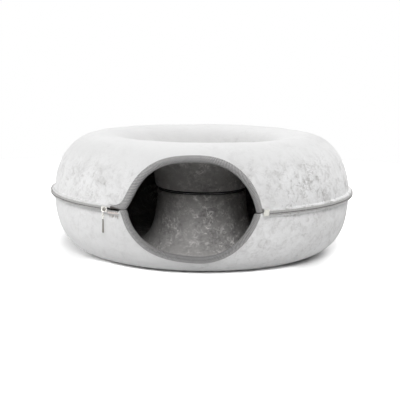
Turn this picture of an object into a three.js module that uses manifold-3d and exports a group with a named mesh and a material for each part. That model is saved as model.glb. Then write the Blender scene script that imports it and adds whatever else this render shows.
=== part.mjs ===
// Round felt tunnel bed for a cat, in millimetres with +Z up.
// Two pressed felt half shells make a hollow ring round an open centre. A zip closes them at the
// outside, their inner rims are sewn together, and a bound doorway faces -Y.
import * as THREE from 'three';
import { LoftGeometry } from 'three/addons/geometries/LoftGeometry.js';
import { mergeVertices } from 'three/addons/utils/BufferGeometryUtils.js';
import Module from 'manifold-3d';

const wasm = await Module();
wasm.setup();

// Overall form, measured from the ring's axis and from the floor.
const wallRadius = 292;
const crestRadius = 204;
const holeRadius = 86;
const bedHeight = 228.5;
const seamHeight = 117;
const floorInnerRadius = 148;
const floorOuterRadius = 193.5;
const feltThickness = 4;

// Roundness of each quarter of the ring's section: 2 is an ellipse, more is squarer.
const upperOuterPower = 2.08;
const upperInnerPower = 2;
const lowerOuterPower = 2.65;
const lowerInnerPower = 2.4;
const outerSteps = 6;
const innerSteps = 4;

// Rims turned out at the zip and into the centre hole.
const clearance = 0.3;
const rimBend = 4.5;
const zipRimRadius = 297.5;
const holeRimRadius = 78;
const tapeThickness = 0.8;

// Doorway, cut through both shells in front view.
// Each side is a squared-off ellipse whose widest point lies sink below the zip, so that it
// meets the other shell's side in a blunt corner.
const upperDoor = {
  rise: 86.4,
  shift: 12.3,
  borderSlant: 0.75,
  left: { halfWidth: 96.9, sink: 4.8, power: 2.76 },
  right: { halfWidth: 114.4, sink: 24, power: 2.17 },
};
const lowerDoor = {
  rise: 80.4,
  shift: 18.7,
  borderSlant: 0.92,
  left: { halfWidth: 112.1, sink: 26.8, power: 2.37 },
  right: { halfWidth: 111.6, sink: 39, power: 1.95 },
};
const doorSteps = 9;
const doorCutDepth = 60;
const doorCutOverlap = 12;

// Binding tape folded over the doorway's cut edge.
const bindingThickness = 1.3;
const bindingWidth = 8;
const sideBorderSlant = 0.92;

// The upper binding's corner at the open end of the zip, where it eases into the seam.
const cornerFlare = 20;
const borderFlare = 37;
const flareHeight = 16;
const flareRows = [6, 12, 20];
const openEdgeLift = 2.6;

// Zip, by angle round the ring from the doorway's middle, positive towards +X.
const sliderAngle = -30;
const sliderHalfAngle = 1.3;
const doorSideAngle = 24.4;
const rimTurnAngle = 0.6;
const tabHalfAngle = 1;
const coilRadius = 1.4;
const coilCentre = 299.3;
const openCoilRadius = 0.9;
const tapeInnerRadius = 290.5;
const tapeOuterRadius = 297.6;
const tabInnerRadius = 295.8;
const tabThickness = 1;

// Zip slider, its link and its pull.
const sliderLength = 12;
const sliderHeight = 8.8;
const sliderWall = 1.2;
const sliderLipRadius = 298;
const bridgeLength = 7;
const bridgeHeight = 3;
const bridgeGap = 2.1;
const linkWire = 1.2;
const linkInnerWidth = 2;
const linkInnerTop = 2;
const linkInnerBottom = -10;
const eyeRadius = 3;
const eyeHoleRadius = 1.5;
const eyeHeight = -10.85;
const pullEnd = -42;
const pullNeckWidth = 2.4;
const pullEndWidth = 4;

const degrees = Math.PI / 180;
const halfFelt = feltThickness / 2;
const tapeOffset = clearance / 2;
const rimOffset = tapeOffset + tapeThickness + clearance + halfFelt;
const sewnRimOffset = clearance / 2 + halfFelt;

const felt = { color: 0xdedcda, roughness: 0.95, metalness: 0 };
const bindingTape = { color: 0x8f8d8d, roughness: 0.85, metalness: 0 };
const zipCloth = { color: 0xb9b7b4, roughness: 0.85, metalness: 0 };
const tabCloth = { color: 0xd8d6cf, roughness: 0.8, metalness: 0 };
const coilPlastic = { color: 0x4c4a49, roughness: 0.5, metalness: 0 };
const openCoilPlastic = { color: 0xe6dcd8, roughness: 0.5, metalness: 0 };
const sliderMetal = { color: 0xc9c7c2, roughness: 0.25, metalness: 1 };
const pullMetal = { color: 0x6e6c68, roughness: 0.35, metalness: 1 };

const bed = new THREE.Group();

function addPiece(name, geometry, finish) {
  const mesh = new THREE.Mesh(geometry, new THREE.MeshStandardMaterial(finish));
  mesh.name = name;
  bed.add(mesh);
  return mesh;
}

function toSolid(geometry) {
  const bare = new THREE.BufferGeometry();
  bare.setAttribute('position', geometry.attributes.position);
  bare.setIndex(geometry.index);
  const merged = mergeVertices(bare);
  return new wasm.Manifold(new wasm.Mesh({
    numProp: 3,
    vertProperties: merged.attributes.position.array,
    triVerts: merged.index.array,
  }));
}

function toGeometry(solid) {
  const mesh = solid.getMesh();
  const geometry = new THREE.BufferGeometry();
  geometry.setAttribute('position', new THREE.BufferAttribute(mesh.vertProperties, 3));
  geometry.setIndex(new THREE.BufferAttribute(mesh.triVerts, 1));
  geometry.computeVertexNormals();
  return geometry;
}

// A point at radius, height and angle round the ring; angle 0 is the middle of the doorway.
function ringPoint(radius, height, angle) {
  const turn = angle * degrees;
  return new THREE.Vector3(radius * Math.sin(turn), -radius * Math.cos(turn), height);
}

// Angles round the ring at which every ring-shaped piece has a section, so their faces stay parallel.
const plainStart = 36;
const plainStep = 9;
const plainCount = 33;
const doorAngles = [-16, -8, 0, 8, 16];
const zipStart = doorSideAngle + rimTurnAngle;
const ringAngles = [
  zipStart,
  zipStart + 2 * tabHalfAngle,
  ...Array.from({ length: plainCount }, (_, step) => plainStart + plainStep * step),
  360 + sliderAngle - sliderHalfAngle,
  360 + sliderAngle,
  360 + sliderAngle + sliderHalfAngle,
  360 - zipStart,
  360 - doorSideAngle,
  ...doorAngles.map((angle) => 360 + angle),
  360 + doorSideAngle,
  360 + zipStart,
];

// Section quarters: height and radius both follow a squared-off ellipse about the crest or floor.
function quarter(middle, reachOut, reachUp, power, startHeight, steps) {
  const startRise = Math.abs((startHeight - middle.height) / reachUp);
  const start = Math.asin(Math.pow(startRise, power / 2));
  return Array.from({ length: steps }, (_, step) => {
    const turn = start + (Math.PI / 2 - start) * (step / steps);
    return {
      radius: middle.radius + reachOut * Math.pow(Math.cos(turn), 2 / power),
      height: middle.height + reachUp * Math.pow(Math.sin(turn), 2 / power),
    };
  });
}

const outerWall = wallRadius - halfFelt;
const innerWall = holeRadius + halfFelt;

// One half shell's forms, as numbers that differ between the upper one and the lower one.
const upperForm = {
  side: 1,
  outerMiddle: { radius: crestRadius, height: seamHeight },
  innerMiddle: { radius: crestRadius, height: seamHeight },
  reachUp: bedHeight - halfFelt - seamHeight,
  outerPower: upperOuterPower,
  innerPower: upperInnerPower,
};
const lowerForm = {
  side: -1,
  outerMiddle: { radius: floorOuterRadius, height: seamHeight },
  innerMiddle: { radius: floorInnerRadius, height: seamHeight },
  reachUp: halfFelt - seamHeight,
  outerPower: lowerOuterPower,
  innerPower: lowerInnerPower,
};

// Middle line of the felt from the zip rim over the crest or floor to the rim in the hole.
// rimTurn is 1 where the zip rim is turned out and 0 where the wall runs straight to the seam.
function middleLine(form, rimTurn) {
  const at = (offset) => seamHeight + form.side * offset;
  const turned = [
    { radius: zipRimRadius, height: at(rimOffset) },
    { radius: outerWall + rimBend, height: at(rimOffset) },
  ];
  const straight = [
    { radius: outerWall, height: at(clearance) },
    { radius: outerWall, height: at(rimOffset) },
  ];
  const rim = turned.map((point, index) => ({
    radius: THREE.MathUtils.lerp(straight[index].radius, point.radius, rimTurn),
    height: THREE.MathUtils.lerp(straight[index].height, point.height, rimTurn),
  }));
  const outer = quarter(form.outerMiddle, outerWall - form.outerMiddle.radius, form.reachUp,
    form.outerPower, at(rimOffset + rimBend), outerSteps);
  const inner = quarter(form.innerMiddle, innerWall - form.innerMiddle.radius, form.reachUp,
    form.innerPower, at(sewnRimOffset + rimBend), innerSteps).reverse();
  const crest = seamHeight + form.reachUp;
  const top = [{ radius: form.outerMiddle.radius, height: crest }];
  if (form.innerMiddle.radius !== form.outerMiddle.radius) {
    top.push({ radius: form.innerMiddle.radius, height: crest });
  }
  return [
    ...rim,
    ...outer,
    ...top,
    ...inner,
    { radius: innerWall - rimBend, height: at(sewnRimOffset) },
    { radius: holeRimRadius, height: at(sewnRimOffset) },
  ];
}

// Closed section of a sheet: its middle line moved half the thickness to each side.
function sheetSection(line, halfThickness) {
  const normals = line.slice(1).map((point, index) => {
    const along = new THREE.Vector2(point.radius - line[index].radius, point.height - line[index].height);
    along.normalize();
    return new THREE.Vector2(-along.y, along.x);
  });
  const offsets = line.map((point, index) => {
    const before = normals[Math.max(index - 1, 0)];
    const after = normals[Math.min(index, normals.length - 1)];
    const sum = before.clone().add(after);
    return sum.multiplyScalar(halfThickness / (1 + before.dot(after)));
  });
  const shifted = (sign) => line.map((point, index) => ({
    radius: point.radius + sign * offsets[index].x,
    height: point.height + sign * offsets[index].y,
  }));
  return [...shifted(1), ...shifted(-1).reverse()];
}

// A half shell's felt at half the given thickness, as a closed ring.
function shellSolid(form, halfThickness, rimTurnAt) {
  const sections = ringAngles.map((angle) => {
    const section = sheetSection(middleLine(form, rimTurnAt(angle)), halfThickness);
    return section.map((point) => ringPoint(point.radius, point.height, angle));
  });
  return toSolid(new LoftGeometry(sections));
}

function upperRimTurn(angle) {
  const fromDoor = angle > 180 ? angle - 360 : angle;
  if (fromDoor < 0) {
    return THREE.MathUtils.clamp((sliderAngle + sliderHalfAngle - fromDoor) / (2 * sliderHalfAngle), 0, 1);
  }
  return fromDoor > doorSideAngle ? 1 : 0;
}

function lowerRimTurn(angle) {
  const fromDoor = angle > 180 ? angle - 360 : angle;
  return Math.abs(fromDoor) > doorSideAngle ? 1 : 0;
}

// Where a front-view point meets the middle of the felt, with the outward direction there.
function wallPoint(form, x, height) {
  const middle = form.outerMiddle;
  const reachOut = outerWall - middle.radius;
  const power = form.outerPower;
  const rise = Math.max((height - middle.height) / form.reachUp, 0);
  const out = Math.pow(1 - Math.pow(rise, power), 1 / power);
  const radius = middle.radius + reachOut * out;
  const angle = Math.asin(x / radius) / degrees;
  const normal = new THREE.Vector2(
    Math.pow(out, power - 1) / reachOut,
    Math.pow(rise, power - 1) / form.reachUp,
  ).normalize();
  return { point: ringPoint(radius, height, angle), outward: ringPoint(normal.x, normal.y, angle) };
}

// Front-view line of the doorway in one shell, grown into the felt by growth, from +X to -X.
// Above, its left end flares and runs level along the open stretch of the zip, at height openEdge.
function doorLine(form, growth, flare, openEdge) {
  const upper = form.side > 0;
  const door = upper ? upperDoor : lowerDoor;
  const rise = door.rise + growth * door.borderSlant;
  const pointAt = (lift, side) => {
    const { halfWidth, sink, power } = side < 0 ? door.left : door.right;
    const across = (at) => Math.pow(1 - Math.pow((at + sink) / (rise + sink), power), 1 / power);
    const reach = halfWidth + growth * sideBorderSlant - side * door.shift;
    const spread = upper && side < 0 ? flare * Math.exp(-lift / flareHeight) : 0;
    return {
      x: door.shift + side * (reach * across(lift) / across(0) + spread),
      height: seamHeight + form.side * lift,
    };
  };
  const liftsTo = (power) => Array.from({ length: doorSteps }, (_, step) => {
    return rise * Math.pow(Math.sin(Math.PI / 2 * step / doorSteps), 2 / power);
  });
  const lifts = liftsTo(door.left.power);
  const leftLifts = upper ? [...flareRows, ...lifts.filter((lift) => lift > flareRows.at(-1) + 2)] : lifts;
  const line = [
    ...liftsTo(door.right.power).map((lift) => pointAt(lift, 1)),
    { x: door.shift, height: seamHeight + form.side * rise },
    ...leftLifts.reverse().map((lift) => pointAt(lift, -1)),
  ];
  if (upper) {
    const corner = pointAt(openEdge, -1);
    const end = ringPoint(outerWall, 0, sliderAngle + sliderHalfAngle);
    line.push({ x: corner.x, height: seamHeight + openEdge }, { x: end.x, height: seamHeight + openEdge });
  }
  return line;
}

// Solid that fills the doorway through one shell, with walls square to the felt.
function doorSolid(form, line) {
  const closing = seamHeight - form.side * doorCutOverlap;
  const outline = [
    { x: line[0].x, height: closing },
    ...line,
    { x: line[line.length - 1].x, height: closing },
  ];
  const feet = outline.map((corner) => wallPoint(form, corner.x, corner.height));
  const ring = (distance) => feet.map((foot) => foot.point.clone().addScaledVector(foot.outward, distance));
  const ends = [ring(-form.side * doorCutDepth), ring(form.side * doorCutDepth)];
  return toSolid(new LoftGeometry(ends, { capStart: true, capEnd: true }));
}

function addShell(name, bindingName, form, rimTurnAt) {
  const cutLine = doorLine(form, 0, cornerFlare, openEdgeLift);
  const foldLine = doorLine(form, -clearance, cornerFlare, openEdgeLift - clearance);
  const edgeLine = doorLine(form, -clearance - bindingThickness, cornerFlare,
    openEdgeLift - clearance - bindingThickness);
  const borderLine = doorLine(form, bindingWidth, borderFlare, openEdgeLift + clearance);
  const shell = shellSolid(form, halfFelt, rimTurnAt).subtract(doorSolid(form, cutLine));
  const channel = shellSolid(form, halfFelt + clearance, rimTurnAt).subtract(doorSolid(form, foldLine));
  const binding = shellSolid(form, halfFelt + clearance + bindingThickness, rimTurnAt)
    .intersect(doorSolid(form, borderLine))
    .subtract(doorSolid(form, edgeLine))
    .subtract(channel);
  addPiece(name, toGeometry(shell), felt);
  addPiece(bindingName, toGeometry(binding), bindingTape);
}

addShell('upper_shell', 'upper_binding', upperForm, upperRimTurn);
addShell('lower_shell', 'lower_binding', lowerForm, lowerRimTurn);

// A piece of one section swept round the ring between two of its angles.
function arcGeometry(section, fromAngle, toAngle) {
  const rings = ringAngles
    .filter((angle) => angle >= fromAngle - 0.01 && angle <= toAngle + 0.01)
    .map((angle) => section.map((corner) => ringPoint(corner.radius, seamHeight + corner.up, angle)));
  return toGeometry(toSolid(new LoftGeometry(rings, { capStart: true, capEnd: true })));
}

function rectangleSection(innerRadius, outerRadius, low, high) {
  return [
    { radius: innerRadius, up: low },
    { radius: innerRadius, up: high },
    { radius: outerRadius, up: high },
    { radius: outerRadius, up: low },
  ];
}

function coilSection(centreRadius, centreUp, halfSize) {
  return [
    { radius: centreRadius - halfSize, up: centreUp },
    { radius: centreRadius, up: centreUp + halfSize },
    { radius: centreRadius + halfSize, up: centreUp },
    { radius: centreRadius, up: centreUp - halfSize },
  ];
}

const closedEnd = 360 + sliderAngle;
const openEnd = 360 - zipStart;
const tabEnd = zipStart + 2 * tabHalfAngle;

addPiece('upper_zip_tape', arcGeometry(
  rectangleSection(tapeInnerRadius, tapeOuterRadius, tapeOffset, tapeOffset + tapeThickness),
  zipStart, closedEnd - sliderHalfAngle), zipCloth);
addPiece('lower_zip_tape', arcGeometry(
  rectangleSection(tapeInnerRadius, tapeOuterRadius, -tapeOffset - tapeThickness, -tapeOffset),
  zipStart, openEnd), zipCloth);
addPiece('zip_coil', arcGeometry(coilSection(coilCentre, 0, coilRadius), tabEnd, closedEnd), coilPlastic);
addPiece('open_zip_coil', arcGeometry(
  coilSection(tapeOuterRadius + clearance + openCoilRadius, -tapeOffset - tapeThickness / 2, openCoilRadius),
  closedEnd + sliderHalfAngle, openEnd), openCoilPlastic);

// Cloth tab folded over the rims where the zip begins.
function endTabSection() {
  const inside = rimOffset + halfFelt + clearance;
  const outside = inside + tabThickness;
  const front = zipRimRadius + clearance;
  return [
    { radius: tabInnerRadius, up: inside },
    { radius: tabInnerRadius, up: outside },
    { radius: front + tabThickness, up: outside },
    { radius: front + tabThickness, up: -outside },
    { radius: tabInnerRadius, up: -outside },
    { radius: tabInnerRadius, up: -inside },
    { radius: front, up: -inside },
    { radius: front, up: inside },
  ];
}

addPiece('zip_end_tab', arcGeometry(endTabSection(), zipStart, tabEnd), tabCloth);

// The slider's own frame: X points away from the ring's axis, Y along the zip and Z up.
const sliderFrame = new THREE.Group();
sliderFrame.position.z = seamHeight;
sliderFrame.rotation.z = (sliderAngle - 90) * degrees;
bed.add(sliderFrame);

const plateBack = coilCentre + coilRadius + clearance;
const plateFront = plateBack + sliderWall;
const bridgeFront = plateFront + bridgeGap + sliderWall;
const linkCentre = plateFront + bridgeGap + sliderWall / 2;

function outlineShape(corners) {
  return new THREE.Shape(corners.map((corner) => new THREE.Vector2(corner.across, corner.up)));
}

// Shapes drawn across X and Z are pushed out along Y, centred on the frame.
function extrudeAlongZip(shape, length) {
  const settings = { depth: length, bevelEnabled: false, curveSegments: 5 };
  const geometry = new THREE.ExtrudeGeometry(shape, settings);
  return geometry.rotateX(Math.PI / 2).translate(0, length / 2, 0);
}

function sliderSolid() {
  const half = sliderHeight / 2;
  const body = outlineShape([
    { across: sliderLipRadius, up: -half },
    { across: plateFront, up: -half },
    { across: plateFront, up: half },
    { across: sliderLipRadius, up: half },
    { across: sliderLipRadius, up: half - sliderWall },
    { across: plateBack, up: half - sliderWall },
    { across: plateBack, up: sliderWall - half },
    { across: sliderLipRadius, up: sliderWall - half },
  ]);
  const root = plateFront - sliderWall / 2;
  const foot = bridgeLength / 2;
  const bridge = outlineShape([
    { across: root, up: -foot },
    { across: bridgeFront, up: -foot },
    { across: bridgeFront, up: foot },
    { across: root, up: foot },
    { across: root, up: foot - sliderWall },
    { across: plateFront + bridgeGap, up: foot - sliderWall },
    { across: plateFront + bridgeGap, up: sliderWall - foot },
    { across: root, up: sliderWall - foot },
  ]);
  const arch = new THREE.ExtrudeGeometry(bridge, { depth: bridgeHeight, bevelEnabled: false });
  arch.translate(0, 0, -bridgeHeight / 2);
  return toSolid(extrudeAlongZip(body, sliderLength)).add(toSolid(arch));
}

function stadium(path, halfWidth, low, high) {
  path.moveTo(linkCentre + halfWidth, low + halfWidth);
  path.lineTo(linkCentre + halfWidth, high - halfWidth);
  path.absarc(linkCentre, high - halfWidth, halfWidth, 0, Math.PI);
  path.lineTo(linkCentre - halfWidth, low + halfWidth);
  path.absarc(linkCentre, low + halfWidth, halfWidth, Math.PI, 2 * Math.PI);
  return path;
}

function linkGeometry() {
  const inner = linkInnerWidth / 2;
  const bottom = linkInnerBottom - linkWire;
  const shape = stadium(new THREE.Shape(), inner + linkWire, bottom, linkInnerTop + linkWire);
  shape.holes.push(stadium(new THREE.Path(), inner, linkInnerBottom, linkInnerTop));
  return extrudeAlongZip(shape, linkWire);
}

// The pull is drawn across Y and Z: a round eye, a neck and a long bar that widens downwards.
function pullGeometry() {
  const neck = pullNeckWidth / 2;
  const end = pullEndWidth / 2;
  const neckTurn = Math.asin(neck / eyeRadius);
  const shape = new THREE.Shape();
  shape.absarc(0, eyeHeight, eyeRadius, neckTurn - Math.PI / 2, 1.5 * Math.PI - neckTurn);
  shape.lineTo(-end, pullEnd + end);
  shape.absarc(0, pullEnd + end, end, Math.PI, 2 * Math.PI);
  shape.holes.push(new THREE.Path().absarc(0, eyeHeight, eyeHoleRadius, 0, 2 * Math.PI, true));
  const settings = { depth: sliderWall, bevelEnabled: false, curveSegments: 8 };
  const geometry = new THREE.ExtrudeGeometry(shape, settings);
  return geometry.rotateX(Math.PI / 2).rotateZ(Math.PI / 2).translate(linkCentre - sliderWall / 2, 0, 0);
}

function addToSlider(name, geometry, finish) {
  const mesh = addPiece(name, geometry, finish);
  sliderFrame.add(mesh);
}

addToSlider('zip_slider', toGeometry(sliderSolid()), sliderMetal);
addToSlider('pull_link', linkGeometry(), sliderMetal);
addToSlider('zip_pull', pullGeometry(), pullMetal);

const box = new THREE.Box3().setFromObject(bed);
bed.position.y = -(box.min.y + box.max.y) / 2;

export default bed;
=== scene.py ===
import math
import bpy
import numpy as np
from mathutils import Matrix, Vector


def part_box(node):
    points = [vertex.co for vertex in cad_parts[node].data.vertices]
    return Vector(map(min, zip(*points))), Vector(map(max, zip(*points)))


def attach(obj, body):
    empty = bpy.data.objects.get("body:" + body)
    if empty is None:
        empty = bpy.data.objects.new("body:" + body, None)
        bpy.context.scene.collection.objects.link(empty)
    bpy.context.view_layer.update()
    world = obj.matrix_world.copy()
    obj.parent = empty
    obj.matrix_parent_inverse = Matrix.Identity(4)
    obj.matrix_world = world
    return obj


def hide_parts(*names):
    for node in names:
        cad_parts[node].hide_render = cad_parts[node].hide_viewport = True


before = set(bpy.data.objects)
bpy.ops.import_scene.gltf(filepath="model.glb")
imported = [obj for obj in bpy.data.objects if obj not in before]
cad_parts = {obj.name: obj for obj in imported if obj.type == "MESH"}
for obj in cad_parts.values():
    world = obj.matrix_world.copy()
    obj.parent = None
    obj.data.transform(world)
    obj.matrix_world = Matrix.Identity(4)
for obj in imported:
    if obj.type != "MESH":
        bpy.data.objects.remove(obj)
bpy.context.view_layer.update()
scene = bpy.context.scene
mm = 0.001
zipRadius = 0.298  # where the tapes' own length is measured, in metres
print("frame loaded:", len(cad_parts), "nodes")

# The ring's axis comes from the zip, which is round and reaches the back of the bed.
coilLow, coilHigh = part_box("zip_coil")
axisY = coilHigh.y - (coilHigh.x - coilLow.x) / 2

# Felt form in millimetres; lifts are counted from the zip's level, up and down alike.
felt = {
    "seam": 117.0,
    "half": 2.0,  # half the thickness
    "wall": 290.0,  # outer wall's middle
    "holeWall": 88.0,  # wall round the open centre
    "rimEdge": 297.5,  # turned-out rim at the zip
    "rimLift": {"upper": 4.5, "lower": 3.25},
    "holeEdge": 78.0,  # turned-in rim in the centre
    "holeLift": 2.15,
    "bend": 4.8,
    "ripple": 1.0,  # unevenness of the pressed walls
    "overhang": {"upper": 3.8, "lower": -1.4},  # how the inner walls stand apart at their seam
    "mouth": {"upper": 5.4, "lower": -0.3},  # how far each sewn edge gapes before they meet
    "fold": {"upper": 2.7, "lower": 4.5},  # and the bend it starts with
    "droop": 2.4,  # how far the lower rim sags where the zip is open
    "droopSpan": (-31.5, -28.4, -25.2, -24.2),  # in degrees
}
forms = {
    "upper": {"side": 1, "outer": 204.0, "inner": 204.0, "reach": 109.5,
              "outerPower": 2.08, "innerPower": 2.0},
    "lower": {"side": -1, "outer": 193.5, "inner": 148.0, "reach": 115.0,
              "outerPower": 2.65, "innerPower": 2.4},
}
# Spots where the felt is pinched in: angle, lift, half their width and height, depth.
pinches = [(-28.2, 6.0, 1.3, 1.1, 2.6)]
# Each side of the doorway is a squared-off ellipse; sink sets how blunt its corner at the zip is.
door = {
    "upper": {"rise": 86.4, "shift": 12.3, "slant": 0.75,
              "left": (101.4, 31.4, 2.76), "right": (114.4, 24.0, 2.17)},
    "lower": {"rise": 80.4, "shift": 18.7, "slant": 0.92,
              "left": (112.1, 26.8, 2.37), "right": (111.6, 39.0, 1.95)},
    "sideSlant": 0.92,
    "border": 8.0,  # growth at the tape's border
    "flare": (13.9, 15.3),  # how far the open corner eases out, at the cut edge and at the tape's border
    "flareHeight": (19.5, 30.0),
    "tail": (16.0, 3.4),  # the border's longer run along the open zip, and the lift it fades over
    "lowerTail": (5.5, 3.0),
    "openLift": (1.84, 5.1),
    "gap": 0.3,
    "slit": (0.9, 1.3),  # how far the bindings' right ends stand off the zip, above and below
}
zipPlan = {  # degrees from the doorway's middle
    "doorSide": 24.4,
    "rightEnd": 25.0,
    "slider": -30.0,
    "sliderHalf": 1.3,
    "tabEnd": 27.0,
    "notch": [24.6, 24.85, 25.1, 25.3],
    "notchLift": 7.2,  # in mm
}


def place(radius, lift, angle):
    turn = np.radians(angle)
    return np.stack([radius * np.sin(turn) * mm, axisY - radius * np.cos(turn) * mm,
                     (felt["seam"] + lift) * mm + 0 * turn], -1)


def turnBy(degrees, axis):
    return Matrix.Rotation(math.radians(degrees), 4, axis)


def unit(vector):
    return vector / np.linalg.norm(vector, axis=-1, keepdims=True)


# How far along a line each of its points lies.
def lengthAlong(points):
    return np.append(0, np.cumsum(np.hypot.reduce(np.diff(points, axis=0), axis=1)))


def smooth(low, high, value):
    t = np.clip((value - low) / (high - low), 0, 1)
    return t * t * (3 - 2 * t)


def addObject(name, data):
    made = bpy.data.objects.new(name, data)
    scene.collection.objects.link(made)
    return made


def addMesh(name, verts, faces, materials, faceSlots=None, loopUv=None, crease=None):
    mesh = bpy.data.meshes.new(name)
    mesh.from_pydata(np.asarray(verts).tolist(), [], [list(f) for f in faces])
    if loopUv is not None:
        layer = mesh.uv_layers.new(name="cloth")
        layer.uv.foreach_set("vector", np.asarray(loopUv, np.float32).ravel())
    for material in materials:
        mesh.materials.append(material)
    if faceSlots is not None:
        mesh.polygons.foreach_set("material_index", np.asarray(faceSlots, np.int32))
    mesh.polygons.foreach_set("use_smooth", np.ones(len(mesh.polygons), bool))
    if signedVolume(mesh) < 0:
        mesh.flip_normals()
    if crease:
        mesh.set_sharp_from_angle(angle=math.radians(crease))
    mesh.update()
    piece = addObject(name, mesh)
    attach(piece, "root")
    return piece


# The piece stands for the CAD node, where one is named, and that node is hidden.
def standFor(piece, node=None):
    if node:
        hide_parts(node)
    return piece


def signedVolume(mesh):
    mesh.calc_loop_triangles()
    points = np.zeros(len(mesh.vertices) * 3, np.float32)
    mesh.vertices.foreach_get("co", points)
    corners = np.zeros(len(mesh.loop_triangles) * 3, np.int32)
    mesh.loop_triangles.foreach_get("vertices", corners)
    a, b, c = points.reshape(-1, 3)[corners.reshape(-1, 3)].transpose(1, 0, 2).astype(float)
    return float(np.einsum("ij,ij->i", a, np.cross(b, c)).sum())


def latticeFaces(rows, cols, closedAlong, closedAcross):
    i = np.arange(rows if closedAlong else rows - 1)
    j = np.arange(cols if closedAcross else cols - 1)
    i, j = (g.ravel() for g in np.meshgrid(i, j, indexing="ij"))
    nextI, nextJ = (i + 1) % rows, (j + 1) % cols
    return np.stack([i * cols + j, nextI * cols + j, nextI * cols + nextJ, i * cols + nextJ], -1), i, j


def cappedFaces(rows, cols):
    faces, _, _ = latticeFaces(rows, cols, False, True)
    last = (rows - 1) * cols
    return faces.tolist() + [list(range(cols)), list(range(last, last + cols))[::-1]]


def facedOut(points, faces):
    a, b, c = points.reshape(-1, 3)[faces[0][:3]]
    centre = points[:2].reshape(-1, 3).mean(0)
    return [face[::-1] for face in faces] if np.cross(b - a, c - a) @ (a - centre) < 0 else faces


def sweepFaces(points, first):
    return [[v + first for v in face] for face in facedOut(points, cappedFaces(*points.shape[:2]))]


# A lattice of points as one closed skin. along and across give the cloth's own measure.
def sweepPiece(name, points, materials, closedAlong=False, along=None, across=None, slotOf=None, crease=None):
    rows, cols = points.shape[:2]
    faces, i, j = latticeFaces(rows, cols, closedAlong, True)
    slots = [0] * len(faces) if slotOf is None else list(np.asarray(slotOf)[j])
    uv = None
    if along is not None:
        u = np.append(along, along[-1] + (along[-1] - along[-2]))
        v = np.append(across, across[-1] + (across[-1] - across[-2]))
        uv = np.stack([np.stack([u[i], v[j]], -1), np.stack([u[i + 1], v[j]], -1),
                       np.stack([u[i + 1], v[j + 1]], -1), np.stack([u[i], v[j + 1]], -1)], 1).reshape(-1, 2)
    faces = faces.tolist()
    if not closedAlong:
        faces = cappedFaces(rows, cols)
        slots += [0, 0]
        if uv is not None:
            uv = np.vstack([uv, np.stack([np.full(cols, u[0]), v[:cols]], -1),
                            np.stack([np.full(cols, u[rows - 1]), v[:cols][::-1]], -1)])
    return addMesh(name, points.reshape(-1, 3), faces, materials, slots, uv, crease)


# Copies of one small closed form at many frames, as one mesh.
def repeatPiece(name, baseVerts, baseFaces, frames, materials):
    count = len(baseVerts)
    verts = np.concatenate([baseVerts @ f[:3, :3].T + f[:3, 3] for f in frames])
    faces = [[v + k * count for v in face] for k in range(len(frames)) for face in baseFaces]
    return addMesh(name, verts, faces, materials)


# A rounded rod along X as base form: radius at each station, sides round it.
def rodForm(stations, radii, sides):
    turns = np.arange(sides) * 2 * np.pi / sides
    rings = [np.stack([np.full(sides, x), r * np.cos(turns), r * np.sin(turns)], -1)
             for x, r in zip(stations, radii)]
    return np.concatenate(rings), cappedFaces(len(rings), sides)


# Where a short rod lies between two points: its own X along it, its Z towards up.
def frameBetween(start, end, up):
    x = unit(end - start)
    up = unit(up - x * (up @ x))
    f = np.eye(4)
    f[:3, 0], f[:3, 1], f[:3, 2], f[:3, 3] = end - start, np.cross(up, x) * mm, up * mm, (start + end) / 2
    return f


def ripple(form, angle, lift):
    a = np.radians(angle)
    up = lift * form["side"] * 0.02
    wave = (0.42 * np.sin(2 * a + 0.7 + up) + 0.34 * np.sin(5 * a + 2.1 - up)
            + 0.26 * np.sin(9 * a + 0.4 + 2.3 * up) + 0.18 * np.sin(16 * a + 1.3 - 2.9 * up)
            + 0.12 * np.sin(27 * a + 3.9 * up))
    rise = lift / form["reach"]
    fade = smooth(3, 34, lift) * (1 if form["side"] > 0 else 1 - smooth(0.72, 0.96, rise))
    return felt["ripple"] * wave * fade


def wallRadius(form, lift):
    rise, power = np.clip(lift / form["reach"], 0, 1), form["outerPower"]
    return form["outer"] + (felt["wall"] - form["outer"]) * (1 - rise ** power) ** (1 / power)


def arc(centreR, centreL, radius, start, end, count):
    t = np.radians(np.linspace(start, end, count))
    return centreR + radius * np.cos(t), centreL + radius * np.sin(t)


# A quarter of a squared-off ellipse, as radii and lifts from low up to the crest.
def quarter(centre, wall, reach, power, low):
    t = np.linspace(np.arcsin((low / reach) ** (power / 2)), np.pi / 2, 240)
    return centre + (wall - centre) * np.maximum(np.cos(t), 0) ** (2 / power), reach * np.sin(t) ** (2 / power)


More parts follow.
